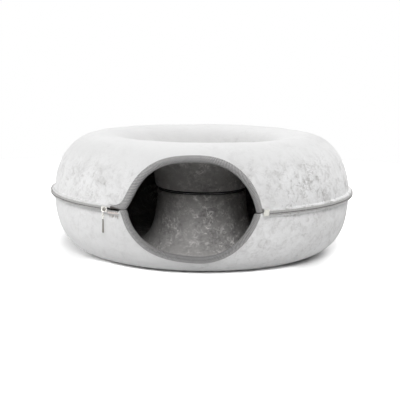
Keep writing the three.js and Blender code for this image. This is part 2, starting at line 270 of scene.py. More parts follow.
# Middle line of one half shell, as radius and lift from the zip rim over the crest to the hole's rim.
def middleLine(which, turned, droop):
    form = forms[which]
    rimLift = felt["rimLift"][which] + droop
    bendTop = rimLift + felt["bend"]
    rimWall = wallRadius(form, bendTop)
    bendR, bendL = arc(rimWall + felt["bend"], bendTop, felt["bend"], -90, -180, 40)
    flatR = np.linspace(felt["rimEdge"], bendR[0], 16)[:-1]
    outR = np.concatenate([flatR, bendR])
    outL = np.concatenate([np.full(15, rimLift), bendL])
    downL = np.linspace(door["gap"], bendTop, len(outR))
    r = outR * turned + wallRadius(form, downL) * (1 - turned)
    lift = outL * turned + downL * (1 - turned)
    reach = form["reach"]
    outerR, outerLift = quarter(form["outer"], felt["wall"], reach, form["outerPower"], bendTop)
    flat = np.linspace(form["outer"], form["inner"], 40)[1:] if form["inner"] != form["outer"] else np.zeros(0)
    fold, mouth = felt["fold"][which], felt["mouth"][which]
    sewnTop = felt["holeLift"] + mouth + fold
    innerR, innerLift = quarter(form["inner"], felt["holeWall"], reach, form["innerPower"], sewnTop)
    innerR, innerLift = innerR[-2::-1], innerLift[-2::-1]
    foldR, foldL = arc(innerR[-1] - fold, sewnTop, fold, 0, -90, 40)
    lastR = np.linspace(foldR[-1], felt["holeEdge"], 12)[1:]
    stand = felt["overhang"][which]
    innerR = innerR + stand * smooth(4, 10, innerLift) * (1 - smooth(14, 48, innerLift))
    foldR = foldR + stand * smooth(4, 10, foldL)
    lastL = felt["holeLift"] + mouth * smooth(felt["holeEdge"] + 1, foldR[-1], lastR)
    r = np.concatenate([r, outerR[1:], flat, innerR, foldR[1:], lastR])
    lift = np.concatenate([lift, outerLift[1:], np.full(len(flat), reach), innerLift, foldL[1:], lastL])
    return np.stack([r, lift], -1), len(outR) + len(outerR) - 2 + len(flat) // 2


# Points of the doorway grown by growth, for p from 0 at the right end over the crown (1) to the left end (2),
# and on to 3 along the open stretch of the zip in the upper shell.
def doorLine(which, growth, p):
    upper = which == "upper"
    share = np.clip(growth / door["border"], 0, 1.1)
    shape = door[which]
    rise, shift = shape["rise"] + growth * shape["slant"], shape["shift"]
    p = np.asarray(p, float)
    left = p > 1
    half, sink, power = (np.where(left, a, b) for a, b in zip(shape["left"], shape["right"]))
    tau = np.where(left, np.clip(2 - p, 0, 1), p)
    flare, flareHeight, openLift = (a + (b - a) * share
                                    for a, b in (door["flare"], door["flareHeight"], door["openLift"]))
    openLift = max(openLift + min(growth, 0), 0.25)
    slit = door["slit"][0 if upper else 1] * (1 - smooth(0, 0.3, p))
    low = np.where(left & upper, openLift, door["gap"] + slit)
    lift = low + (rise - low) * np.sin(np.pi / 2 * tau ** 1.2) ** (1.7 / power)
    across = np.maximum(1 - ((lift + sink) / (rise + sink)) ** power, 0) ** (1 / power)
    widest = (1 - (sink / (rise + sink)) ** power) ** (1 / power)
    sign = np.where(left, -1, 1)
    (run, runHeight), (lowRun, lowHeight) = door["tail"], door["lowerTail"]
    spread = flare * np.exp(-lift / flareHeight) + run * share * np.exp(-(lift - openLift) / runHeight)
    spread = spread * (left & upper) + lowRun * share * np.exp(-lift / lowHeight) * (left & (not upper))
    x = shift + sign * ((half + growth * door["sideSlant"] - sign * shift) * across / widest + spread)
    end = felt["wall"] * math.sin(math.radians(zipPlan["slider"] + zipPlan["sliderHalf"]))
    tail = np.clip(p - 2, 0, 1)
    return x + (end - x) * tail, lift * (1 - 0.3 * tail * np.clip(share, 0, 1))


# Where a front-view point on the wall is, moved out of the felt by out.
def onWall(which, x, lift, out):
    form = forms[which]
    power = form["outerPower"]
    middle = wallRadius(form, lift)
    angle = np.degrees(np.arcsin(x / middle))
    rise = np.clip(lift / form["reach"], 0, 1)
    share = np.maximum(1 - rise ** power, 0) ** (1 / power)
    nr, nl = share ** (power - 1) / (felt["wall"] - form["outer"]), rise ** (power - 1) / form["reach"]
    size = np.hypot(nr, nl)
    nr, nl = nr / size, nl / size
    out = out + ripple(form, angle, lift)
    return place(middle + nr * out, form["side"] * (lift + nl * out), angle)


def wallNormal(which, x, lift):
    return unit(onWall(which, x, lift, 1.0) - onWall(which, x, lift, 0.0))


shellRows = {"outer": 50, "inner": 46, "rim": 15, "rimShare": 0.075, "step": 1.15}


def pinchedIn(which, angle, lift):
    turn = (angle + 180) % 360 - 180
    depth = sum(deep * np.exp(-((turn - at) / wide) ** 4 - ((lift - up) / high) ** 4)
                for at, up, wide, high, deep in pinches)
    return depth * (which == "upper")


def rimDroop(which, angle):
    turn = (np.asarray(angle, float) + 180) % 360 - 180
    a, b, c, d = felt["droopSpan"]
    return felt["droop"] * smooth(a, b, turn) * (1 - smooth(c, d, turn)) * (which == "lower")


# The shell's columns: angle, lift at which each starts, and how far its rim is turned out.
def shellColumns(which):
    p = [np.linspace(0, 1, 74), np.linspace(1, 2, 86)[1:], np.linspace(2, 3, 12)[1:]]
    p = np.concatenate(p if which == "upper" else p[:2])
    x, lift = doorLine(which, 0.0, p)
    angle = np.degrees(np.arcsin(x / wallRadius(forms[which], lift)))
    order = np.argsort(angle)
    angle, lift = angle[order], lift[order]
    keep = np.append(True, np.diff(angle) > 0.004)
    angle, lift = angle[keep], lift[keep]
    end = zipPlan["rightEnd"] + (0.95 if which == "upper" else 0.3)
    side = end - 0.6
    rightTurn = np.linspace(side, end, 7)[1:]
    if which == "upper":  # a notch in the felt's corner, between binding and end tab
        rightGap = np.append(np.linspace(angle[-1], zipPlan["notch"][0] - 0.05, 4)[1:], zipPlan["notch"] + [side])
        gapStart = [lift[-1]] * 3 + [zipPlan["notchLift"]] * 4 + [0]
        near, far = zipPlan["slider"] - zipPlan["sliderHalf"], zipPlan["slider"] + zipPlan["sliderHalf"]
    else:
        rightGap = np.linspace(angle[-1], side, 8)[1:]
        gapStart = [lift[-1]] * 6 + [0]
        near, far = -zipPlan["rightEnd"] - 0.3, -zipPlan["doorSide"]
    roundFrom = np.arange(end, 360 - zipPlan["rightEnd"] - 8, shellRows["step"])[1:]
    roundTo = np.linspace(roundFrom[-1], 360 + near, 12)[1:]
    gap = angle[0] - far > 0.05
    turnIn = np.linspace(near, far, 10)[1:None if gap else -1]
    leftGap = np.linspace(far, angle[0], 4)[1:-1 if gap else 1]
    parts = [(angle, lift, 0), (rightGap, gapStart, 0), (rightTurn, 0, smooth(side, end, rightTurn)),
             (roundFrom, 0, 1), (roundTo, 0, 1), (turnIn + 360, 0, 1 - smooth(near, far, turnIn)),
             (leftGap + 360, 0, 0)]
    return [np.concatenate([np.broadcast_to(part[k], len(part[0])) for part in parts]).astype(float)
            for k in range(3)]


def buildShell(which, name, node, materials):
    form = forms[which]
    angles, starts, turned = shellColumns(which)
    rim, rimShare = shellRows["rim"], shellRows["rimShare"]
    outerSteps = np.append(np.linspace(0, rimShare, rim),
                           np.linspace(rimShare, 1, shellRows["outer"] - rim + 1)[1:])
    innerSteps = np.append(np.linspace(0, 1 - rimShare, shellRows["inner"] - rim + 1),
                           np.linspace(1 - rimShare, 1, rim)[1:])
    columns = []
    for angle, start, turn in zip(angles, starts, turned):
        line, crest = middleLine(which, turn, rimDroop(which, angle))
        s = lengthAlong(line)
        slope, top = np.gradient(line, s, axis=0), s[crest]
        begin = np.interp(start, line[:crest - 20, 1], s[:crest - 20]) if start > 0 and turn == 0 else 0.0
        at = np.append(begin + (top - begin) * outerSteps, top + (s[-1] - top) * innerSteps[1:])
        here, tangent = (np.stack([np.interp(at, s, v) for v in values.T], -1) for values in (line, slope))
        out, lift = unit(tangent[:, ::-1] * (1, -1)), here[:, 1]
        off = ripple(form, angle, lift) * np.where(at <= top, 1, smooth(s[-1] - 10, s[-1] - 60, at) * 0.6)
        off = off - pinchedIn(which, angle, lift) * (at < 40)
        here = here + out * off[:, None]
        bulge = 0.45 if start == 0 else 0.15
        first, last = (here[k] + unit(here[k] - here[j]) * bulge for k, j in ((0, 1), (-1, -2)))
        half = felt["half"]
        ring = np.vstack([here + out * half, last, (here - out * half)[::-1], first])
        columns.append(place(ring[:, 0], form["side"] * ring[:, 1], np.full(len(ring), angle)))
    slotOf = [0] * (len(at) + 1) + [1] * (len(at) - 1) + [0] * 2
    piece = sweepPiece(name, np.stack(columns), materials, closedAlong=True, slotOf=slotOf)
    return standFor(piece, node)


binding = {
    "width": 8.7,
    "out": 3.6,
    "bulge": 2.0,
    "step": 0.62,
    "ribPitch": 3.0,
    "ribSlant": 0.7,
    "ribHeight": 0.28,
    "cutEnd": (5.4, 3.3, 3.4),  # width kept by a cut end, what it gains, and over what length
    "stitchLine": 6.3,
    "stitchPitch": 3.7,
    "sampleFine": 4000,
}


def bindingSection():
    out = binding["out"]
    leg = [(8.7, 2.35), (8.72, 2.9), (8.5, 3.35), (7.9, 3.5), (7.2, 3.48), (6.75, 3.3), (6.3, 3.12),
           (5.85, 3.3), (5.3, 3.5), (4.4, out), (3.2, out + 0.05), (2.0, out + 0.08), (0.8, out + 0.04)]
    fold = [(-0.1 - binding["bulge"] * math.cos(math.radians(t)), out * math.sin(math.radians(t)))
            for t in (78, 62, 46, 30, 15, 0, -15, -30, -46, -62, -78)]
    outside = leg + fold + [(g, -n) for g, n in leg[::-1]]
    inside = [(8.2, -2.3), (4.0, -2.3), (0.2, -2.3), (-0.5, -1.6), (-0.62, 0)]
    return np.array(outside + inside + [(g, -n) for g, n in inside[-2::-1]]), len(outside)


def bindingPath(which):
    p = np.linspace(0, 3 if which == "upper" else 2, binding["sampleFine"])
    x, lift = doorLine(which, 1.0, p)
    return p, lengthAlong(onWall(which, x, lift, binding["out"])) / mm


def buildBinding(which, name, node, material):
    p, s = bindingPath(which)
    at = np.linspace(0, s[-1], int(s[-1] / binding["step"]) + 1)
    params = np.interp(at, s, p)
    section, outside = bindingSection()
    ends = np.minimum(at, s[-1] - at) if which == "lower" else at
    kept, gained, over = binding["cutEnd"]
    rounding = kept + gained * np.sqrt(1 - (1 - np.clip(ends / over, 0, 1)) ** 2)
    rows = []
    across = lengthAlong(section)
    for k, (growth, out) in enumerate(section):
        if growth > 0:
            x, lift = np.zeros((2, len(params)))
            scaled = growth * rounding / binding["width"]
            for band in np.unique(np.round(scaled, 2)):
                pick = np.abs(scaled - band) < 0.0051
                x[pick], lift[pick] = doorLine(which, float(band), params[pick])
        else:
            x, lift = doorLine(which, float(growth), params)
        rib = 0.0
        if k < outside and growth < 5.6:
            wave = np.sin(2 * np.pi * (at + binding["ribSlant"] * across[k]) / binding["ribPitch"])
            rib = wave * binding["ribHeight"] * np.sign(out) * min(abs(out) / 2.5, 1)
        rows.append(onWall(which, x, lift, out + rib))
    piece = sweepPiece(name, np.stack(rows, 1), [material], along=at * mm, across=across * mm)
    return standFor(piece, node), s[-1]


def buildStitches(which, name, material):
    p, s = bindingPath(which)
    begins = np.arange(3.0, np.interp(2.0, p, s) - 3.0, binding["stitchPitch"])
    frames = []
    for side in (1, -1):
        for begin in begins:
            pair = np.interp([begin, begin + binding["stitchPitch"] * 0.78], s, p)
            x, lift = doorLine(which, binding["stitchLine"], pair)
            ends = onWall(which, x, lift, side * 3.22)
            frames.append(frameBetween(*ends, wallNormal(which, x[:1], lift[:1])[0] * side))
    verts, faces = rodForm([-0.5, -0.46, -0.3, 0.3, 0.46, 0.5], [0.12, 0.26, 0.33, 0.33, 0.26, 0.12], 6)
    return standFor(repeatPiece(name, verts, faces, frames, [material]))


tape = {
    "inner": 291.0,
    "step": 0.55,
    "top": {"upper": 4.6, "lower": 2.9},
    "face": 300.2,
    "pitch": 1.7,  # teeth, in mm round the ring
}


def ringWander(angle, seed):
    a = np.radians(angle)
    return (0.5 * np.sin(11 * a + seed) + 0.3 * np.sin(23 * a + 2 * seed) + 0.2 * np.sin(41 * a + 3 * seed))


def buildTape(which, name, node, start, end, material):
    side, top, face = forms[which]["side"], tape["top"][which], tape["face"]
    section = np.array([
        (tape["inner"], 0.18), (295.0, 0.2), (298.0, 0.25), (299.3, 0.35), (face - 0.15, 0.7), (face, 1.4),
        (face, top - 1.4), (face - 0.25, top - 0.6), (face - 0.75, top - 0.05), (face - 1.4, top - 0.1),
        (298.0, top - 0.9), (297.8, 1.9), (297.3, 1.12), (295.0, 0.98), (tape["inner"], 0.96)])
    angles = np.append(np.arange(start, end, tape["step"]), end)
    rows = []
    for radius, lift in section:
        share = smooth(1.5, top, np.full(len(angles), lift))
        out = radius + share * 0.22 * ringWander(angles, 0.7 + side) * (radius > 297.6)
        up = lift + share * 0.22 * ringWander(angles, 2.9 + side) + rimDroop(which, angles)
        rows.append(place(out, side * up, angles))
    piece = sweepPiece(name, np.stack(rows, 1), [material], along=np.radians(angles) * zipRadius,
                       across=lengthAlong(section) * mm)
    return standFor(piece, node), math.radians(end - start) * zipRadius


def toothForm(height, size):
    lifts = np.array([-1, -0.86, -0.5, 0, 0.5, 0.86, 1]) * height
    outs = np.array([-0.9, -0.25, 0.1, 0.25, 0.1, -0.25, -0.9]) * size
    radii = np.array([0.5, 0.9, 1, 1.05, 1, 0.9, 0.5]) * size
    turns = np.arange(6) * np.pi / 3
    rings = [np.stack([out + r * np.cos(turns), r * np.sin(turns), np.full(6, lift)], -1)
             for lift, out, r in zip(lifts, outs, radii)]
    return np.concatenate(rings), cappedFaces(len(rings), 6)


def buildTeeth(name, start, end, radius, lift, height, size, material):
    angles = np.linspace(start, end, int(math.radians(end - start) * radius / tape["pitch"]))
    verts, faces = toothForm(height, size)
    frames = []
    for k, angle in enumerate(angles):
        way = 1 if k % 2 else -1
        f = np.array(turnBy(angle - 90, "Z") @ turnBy(9 * way, "X"))
        f[:3, :3] *= mm
        f[:3, 3] = place(radius, lift(angle) + 0.16 * way, angle)
        frames.append(f)
    return repeatPiece(name, verts, faces, frames, [material])


def ringRod(name, start, end, radius, size, material):
    angles = np.append(np.arange(start, end, 0.8), end)
    turns = np.arange(8) * np.pi / 4
    points = np.stack([place(radius + size * math.cos(t), size * math.sin(t), angles) for t in turns], 1)
    return sweepPiece(name, points, [material])


def newMaterial(name):
    material = bpy.data.materials.new(name)
    material.use_nodes = True
    return material, material.node_tree, material.node_tree.nodes["Principled BSDF"]


def linear(colour):
    return tuple(((c / 255 + 0.055) / 1.055) ** 2.4 for c in colour) + (1,)


def newGroup(name, inputs, outputs):
    group = bpy.data.node_groups.new(name, "ShaderNodeTree")
    for way, sockets in (("INPUT", inputs), ("OUTPUT", outputs)):
        for label, kind in sockets.items():
            group.interface.new_socket(name=label, in_out=way, socket_type="NodeSocket" + kind)
    return group, group.nodes.new("NodeGroupInput").outputs, group.nodes.new("NodeGroupOutput")


# Gives a node's inputs their numbers and colours, or joins them to what feeds them.
def fill(tree, node, values):
    for label, value in values.items():
        if isinstance(value, bpy.types.NodeSocket):
            tree.links.new(value, node.inputs[label])
        else:
            node.inputs[label].default_value = value
    return node


def noise(tree, vector, scale, detail, rough, distortion):
    values = {"Vector": vector, "Scale": scale, "Detail": detail, "Roughness": rough, "Distortion": distortion}
    return fill(tree, tree.nodes.new("ShaderNodeTexNoise"), values).outputs["Fac"]


def maths(tree, operation, a, b=None, clamp=False):
    node = tree.nodes.new("ShaderNodeMath")
    node.operation = operation
    node.use_clamp = clamp
    return fill(tree, node, {0: a} if b is None else {0: a, 1: b}).outputs[0]


def times(tree, a, b, clamp=False):
    return maths(tree, "MULTIPLY", a, b, clamp)


def plus(tree, a, b):
    return maths(tree, "ADD", a, b)


def ramp(tree, value, low, high, out0=0.0, out1=1.0):
    node = tree.nodes.new("ShaderNodeMapRange")
    node.interpolation_type = "SMOOTHSTEP"
    values = {"Value": value, "From Min": low, "From Max": high, "To Min": out0, "To Max": out1}
    return fill(tree, node, values).outputs["Result"]


def mixColour(tree, share, a, b):
    node = tree.nodes.new("ShaderNodeMix")
    node.data_type = "RGBA"
    return fill(tree, node, {0: share, 6: a, 7: b}).outputs[2]


# The surface's own place, and that place as X, Y and Z.
def placeOn(tree):
    here = tree.nodes.new("ShaderNodeTexCoord").outputs["Object"]
    return here, fill(tree, tree.nodes.new("ShaderNodeSeparateXYZ"), {0: here}).outputs


def fromAxis(tree, here):
    node = tree.nodes.new("ShaderNodeVectorMath")
    node.operation = "DISTANCE"
    return fill(tree, node, {0: here, 1: (0, axisY, 0)}).outputs["Value"]


# What the camera sees straight, in metal or through glass.
def seenRays(tree):
    path = tree.nodes.new("ShaderNodeLightPath").outputs
    seen = maths(tree, "MAXIMUM", path["Is Camera Ray"], path["Is Glossy Ray"])
    return maths(tree, "MAXIMUM", seen, path["Is Transmission Ray"])


# Adds up masks, each times its share.
def summed(tree, *parts):
    total = times(tree, *parts[0])
    for part in parts[1:]:
        total = plus(tree, total, times(tree, *part))
    return total


# Lays colours over the first one, each where its mask says.
def layered(tree, colour, *layers):
    for mask, over in layers:
        colour = mixColour(tree, mask, colour, over)
    return colour


# Heathered felt: soft clouds, flecks and short curled dashes, dark and light, in uneven patches.
def heatherGroup():
    group, given, made = newGroup("feltHeather", {
        "Place": "Vector", "Base": "Color", "Dark": "Color", "Light": "Color", "Contrast": "Float"},
        {"Colour": "Color", "Height": "Float", "Rough": "Float"})
    at = given["Place"]

    def dashes(scale, distortion, centre, width):
        field = noise(group, at, scale, 1.5, 0.45, distortion)
        away = maths(group, "ABSOLUTE", maths(group, "SUBTRACT", field, centre))
        return maths(group, "SUBTRACT", 1.0, ramp(group, away, width * 0.3, width))

    cloud = noise(group, at, 24, 3, 0.55, 0.6)
    fleck = noise(group, at, 118, 2.5, 0.55, 0.9)
    grain = noise(group, at, 480, 2, 0.6, 0.6)
    mask = noise(group, at, 52, 1, 0.5, 0.5)
    patch = ramp(group, noise(group, at, 8.5, 2, 0.5, 0.4), 0.36, 0.62, 0.45, 1.35)
    contrast = times(group, given["Contrast"], patch)
    smudge = noise(group, at, 46, 2.5, 0.6, 1.3)
    dark = times(group, dashes(70, 1.6, 0.5, 0.05), ramp(group, mask, 0.52, 0.60))
    pale = times(group, dashes(88, 1.4, 0.47, 0.05), ramp(group, mask, 0.50, 0.42))
    shade = summed(group, (ramp(group, cloud, 0.42, 0.68), 0.2), (ramp(group, fleck, 0.52, 0.72), 0.24),
                   (ramp(group, smudge, 0.46, 0.66), 0.26), (dark, 0.27))
    bright = summed(group, (pale, 0.6), (ramp(group, fleck, 0.46, 0.32), 0.4),
                    (ramp(group, grain, 0.5, 0.75), 0.15))
    fill(group, made, {
        "Colour": layered(group, given["Base"], (times(group, shade, contrast, clamp=True), given["Dark"]),
                          (times(group, bright, contrast, clamp=True), given["Light"])),
        "Height": summed(group, (fleck, 0.5), (grain, 0.35), (plus(group, dark, pale), 0.18)),
        "Rough": ramp(group, grain, 0.3, 0.7, 0.86, 1.0)})
    return group


# Woven tape: slanted ribs over a fine cross thread, from the cloth's own measure in metres, with painted shade
# along its fold and on its tail.
def weaveGroup():
    group, given, made = newGroup("tapeWeave", {
        "Cloth": "Vector", "Base": "Color", "Groove": "Color", "Thread": "Color", "Pitch": "Float",
        "Slant": "Float", "Middle": "Float", "Tail": "Float"},
        {"Colour": "Color", "Height": "Float", "Rough": "Float"})
    along, across, _ = fill(group, group.nodes.new("ShaderNodeSeparateXYZ"), {0: given["Cloth"]}).outputs
    slanted = plus(group, along, times(group, across, given["Slant"]))
    wave = maths(group, "SINE", times(group, maths(group, "DIVIDE", slanted, given["Pitch"]), 2 * math.pi))
    crossWave = maths(group, "SINE", times(group, across, 2 * math.pi / 0.0011))
    wander = noise(group, given["Cloth"], 900, 2, 0.6, 0.5)
    blot = noise(group, given["Cloth"], 240, 2, 0.6, 0.5)
    groove = ramp(group, plus(group, wave, times(group, crossWave, 0.35)), -0.2, -1.0)
    top = ramp(group, plus(group, times(group, wave, 0.6), times(group, wander, 1.5)), 0.85, 1.5)
    # Painted shade along the fold, strongest at the Middle line across the cloth.
    fromFold = maths(group, "ABSOLUTE", maths(group, "SUBTRACT", across, given["Middle"]))
    # Painted shade on the tail: near black-brown from Tail on along the cloth.
    intoTailShade = maths(group, "SUBTRACT", along, given["Tail"])
    fill(group, made, {
        "Colour": layered(group, given["Base"], (times(group, groove, 0.75), given["Groove"]),
                          (times(group, top, 0.75), given["Thread"]),
                          (ramp(group, blot, 0.5, 0.68, 0.0, 0.3), given["Groove"]),
                          (times(group, ramp(group, fromFold, 0.0095, 0.0035), 0.36), given["Groove"]),
                          (ramp(group, intoTailShade, -0.004, 0.017, 0.0, 0.85), (0.075, 0.062, 0.055, 1))),
        "Height": summed(group, (wave, 0.4), (crossWave, 0.2), (wander, 0.5)),
        "Rough": ramp(group, wander, 0.3, 0.7, 0.72, 0.95)})
    return group


# Small knocks and rubbed spots on plated metal.
def wearGroup():
    group, given, made = newGroup("metalWear", {
        "Place": "Vector", "Bright": "Color", "Dull": "Color", "Smoothness": "Float"},
        {"Colour": "Color", "Rough": "Float", "Height": "Float"})
    spots = noise(group, given["Place"], 700, 3, 0.6, 0.8)
    fine = noise(group, given["Place"], 2600, 2, 0.6, 0.0)
    dull = ramp(group, spots, 0.48, 0.72)
    fill(group, made, {"Colour": mixColour(group, dull, given["Bright"], given["Dull"]),
                       "Rough": summed(group, (given["Smoothness"], 1.0), (dull, 0.25), (fine, 0.06)),
                       "Height": summed(group, (spots, 0.7), (fine, 0.2))})
    return group


heather, weave, wear = heatherGroup(), weaveGroup(), wearGroup()


def useGroup(tree, group, values):
    node = tree.nodes.new("ShaderNodeGroup")
    node.node_tree = group
    return fill(tree, node, values).outputs


# Hands the shader the colour, roughness and bump made for it, and its own plain values.
def setSurface(tree, shader, made, strength, distance, values):
    bump = {"Strength": strength, "Distance": distance, "Height": made["Height"]}
    bump = fill(tree, tree.nodes.new("ShaderNodeBump"), bump).outputs["Normal"]
    fill(tree, shader, {"Base Color": made["Colour"], "Roughness": made["Rough"], "Normal": bump} | values)


# The outer felt is plainer towards the crest and busier on the +X side.
def feltMaterial(name, base, dark, light, contrast, sheen, uneven, paintedInside=False):
    material, tree, shader = newMaterial(name)
    here, (x, y, z) = placeOn(tree)
    base, dark, light = linear(base), linear(dark), linear(light)
    strength = ramp(tree, x, -0.05, 0.13, contrast * (1 - uneven * 0.35), contrast * (1 + uneven * 0.3))
    strength = times(tree, strength, ramp(tree, z, 0.16, 0.215, 1.0, 1 - 0.85 * uneven))
    strength = times(tree, strength, ramp(tree, z, 0.10, 0.125, 1 - 0.55 * uneven, 1.0))
    made = useGroup(tree, heather, {"Place": here, "Base": base, "Dark": dark, "Light": light,
                                    "Contrast": strength})
    radius = fromAxis(tree, fill(tree, tree.nodes.new("ShaderNodeCombineXYZ"), {0: x, 1: y}).outputs[0])
    if paintedInside:  # painted light near the doorway, painted shade in the seam's slot round the centre
        layers = [(ramp(tree, y, -0.098, -0.17, 0.0, 0.62), light),
                  (ramp(tree, radius, 0.0878, 0.0862), (0.006, 0.006, 0.006, 1))]
    else:  # painted shade, darker down in the hole
        layers = [(ramp(tree, radius, 0.175, 0.125, 0.0, 0.24), dark)]
    setSurface(tree, shader, made, 0.5, 0.0012, {"Base Color": layered(tree, made["Colour"], *layers),
                                                 "Sheen Weight": sheen, "Sheen Roughness": 0.6,
                                                 "Specular IOR Level": 0.15})
    return material


def tapeMaterial(name, base, groove, thread, pitch, slant, bump=0.0004, middle=1.0, tail=9.0):
    material, tree, shader = newMaterial(name)
    cloth = tree.nodes.new("ShaderNodeUVMap")
    cloth.uv_map = "cloth"
    made = useGroup(tree, weave, {
        "Cloth": cloth.outputs["UV"], "Base": linear(base), "Groove": linear(groove), "Thread": linear(thread),
        "Pitch": pitch, "Slant": slant, "Middle": middle, "Tail": tail})
    setSurface(tree, shader, made, 0.6, bump, {"Sheen Weight": 0.15, "Specular IOR Level": 0.25})
    return material


def fibreMaterial(name, base, dark, rough, specular):
    material, tree, shader = newMaterial(name)
    fine = noise(tree, placeOn(tree)[0], 1500, 2, 0.6, 0.4)
    made = {"Colour": mixColour(tree, ramp(tree, fine, 0.4, 0.7), linear(base), linear(dark)),
            "Rough": ramp(tree, fine, 0.3, 0.7, rough - 0.08, rough + 0.08), "Height": fine}
    setSurface(tree, shader, made, 0.4, 0.0002, {"Specular IOR Level": specular})
    return material


def metalMaterial(name, bright, dull, smoothness):
    material, tree, shader = newMaterial(name)
    made = useGroup(tree, wear, {"Place": placeOn(tree)[0], "Bright": linear(bright), "Dull": linear(dull),
                                 "Smoothness": smoothness})
    setSurface(tree, shader, made, 0.25, 0.0002, {"Metallic": 1.0})
    return material


feltOut = feltMaterial("feltOut", (235, 235, 235), (152, 149, 147), (243, 243, 244), 1.0, 0.25, 1.0)
# The inside felt is the same felt in a darker grey: painted shade for the dim tunnel.
feltIn = feltMaterial("feltIn", (163, 161, 160), (92, 91, 90), (232, 230, 228), 0.8, 0.1, 0.0, paintedInside=True)
# The binding's middle and tail place its painted shade: along the doorway fold and on the tail by the open zip.
bindingCloth = tapeMaterial("bindingCloth", (173, 172, 172), (78, 77, 77), (214, 213, 213), 0.003, 0.7,
                            middle=0.0132, tail=0.325)
threadGrey = fibreMaterial("threadGrey", (172, 171, 171), (124, 123, 123), 0.6, 0.3)
zipCloth = tapeMaterial("zipCloth", (188, 187, 186), (132, 131, 130), (205, 204, 202), 0.0012, 0.0, 0.0002)
# The closed coil is given a dark grey: painted shade of the slit between the tapes; the same coil is pale where
# open.
coilPaintedShade = fibreMaterial("coilPaintedShade", (84, 82, 81), (52, 50, 49), 0.45, 0.5)
threadWhite = fibreMaterial("threadWhite", (240, 236, 230), (208, 198, 190), 0.6, 0.3)
threadBrown = fibreMaterial("threadBrown", (172, 158, 148), (140, 126, 116), 0.7, 0.2)
coilPale = fibreMaterial("coilPale", (240, 232, 228), (204, 190, 184), 0.45, 0.5)
tabCloth = tapeMaterial("tabCloth", (244, 243, 236), (190, 187, 174), (250, 250, 246), 0.0014, 0.3, 0.0003)
sliderMetal = metalMaterial("sliderMetal", (226, 224, 220), (150, 148, 145), 0.16)
pullMetal = metalMaterial("pullMetal", (118, 115, 110), (78, 75, 71), 0.24)
print("materials made")

upperFelt = buildShell("upper", "upper_felt", "upper_shell", [feltOut, feltIn])
lowerFelt = buildShell("lower", "lower_felt", "lower_shell", [feltOut, feltIn])
print("felt shells made:", len(upperFelt.data.polygons), len(lowerFelt.data.polygons))

upperBinding, upperLength = buildBinding("upper", "upper_binding_tape", "upper_binding", bindingCloth)
lowerBinding, lowerLength = buildBinding("lower", "lower_binding_tape", "lower_binding", bindingCloth)
upperStitches = buildStitches("upper", "upper_binding_stitches", threadGrey)
lowerStitches = buildStitches("lower", "lower_binding_stitches", threadGrey)
print("binding made: lengths in mm", round(upperLength), round(lowerLength), len(upperBinding.data.polygons))

closedEnd = 360 + zipPlan["slider"]
teethEnd = closedEnd - 0.4
openStart = closedEnd + zipPlan["sliderHalf"]
openEnd = 360 - zipPlan["rightEnd"]
upperTape, upperTapeLength = buildTape("upper", "upper_zip_band", "upper_zip_tape", zipPlan["rightEnd"],
                                       closedEnd - zipPlan["sliderHalf"], zipCloth)
lowerTape, lowerTapeLength = buildTape("lower", "lower_zip_band", "lower_zip_tape", zipPlan["rightEnd"],
                                       openEnd, zipCloth)
# The closed teeth and their core take the painted shade of the slit between the tapes.
teeth = buildTeeth("zip_teeth_closed", zipPlan["tabEnd"], teethEnd, 299.7, lambda angle: 0.0, 0.5, 0.45, coilPaintedShade)
standFor(teeth, "zip_coil")
core = ringRod("zip_core", zipPlan["tabEnd"] - 0.6, teethEnd, 299.1, 0.35, coilPaintedShade)
standFor(core)
openTeeth = buildTeeth("zip_teeth_open", openStart + 0.2, openEnd, 300.7,
                       lambda angle: -3.0 - rimDroop("lower", angle), 2.0, 0.72, coilPale)
standFor(openTeeth, "open_zip_coil")
print("zip made:", len(teeth.data.polygons))

tab = {"inner": 297.4, "face": 301.5, "top": 6.9, "thick": 0.9, "under": 0.62}


def buildTab():
    t, face, top = tab["thick"], tab["face"], tab["top"]
    edge = [(tab["inner"], top), (299.0, top + 0.1), (300.4, top - 0.3), (face - 0.1, top - 1.5),
            (face, 2.6), (face + 0.1, 0.0)]
    outer = edge + [(max(r, 298.1), -tab["under"] * l) for r, l in edge[-2::-1]]
    back = [(tab["inner"], t - top), (299.6, t - top), (face - t, 2.2 - top), (face - t, 0.0)]
    low = [(max(r, 298.1), tab["under"] * l) for r, l in back]
    section = np.array(outer + low + [(r, -l) for r, l in back[-2::-1]])
    share = np.linspace(0, 1, 15)
    rows = []
    for radius, lift in section:
        frayed = 0.35 * math.sin(1.1 * lift + 0.6) + 0.2 * math.sin(2.7 * lift)
        first = 24.45 + 0.5 * smooth(2.5, 5.5, lift) + 0.12 * math.sin(1.9 * lift)
        angles = first + share * (26.3 + frayed - first)
        wob = 0.3 * np.sin(angles * 5.3 + lift) + 0.2 * np.sin(angles * 11 + 2 * lift)
        rows.append(place(radius + wob * (radius > 300), lift + wob * 0.8, angles))
    piece = sweepPiece("zip_end_cloth", np.stack(rows, 1), [tabCloth], along=np.radians(angles) * zipRadius,
                       across=lengthAlong(section) * mm)
    return standFor(piece, "zip_end_tab")


endTab = buildTab()


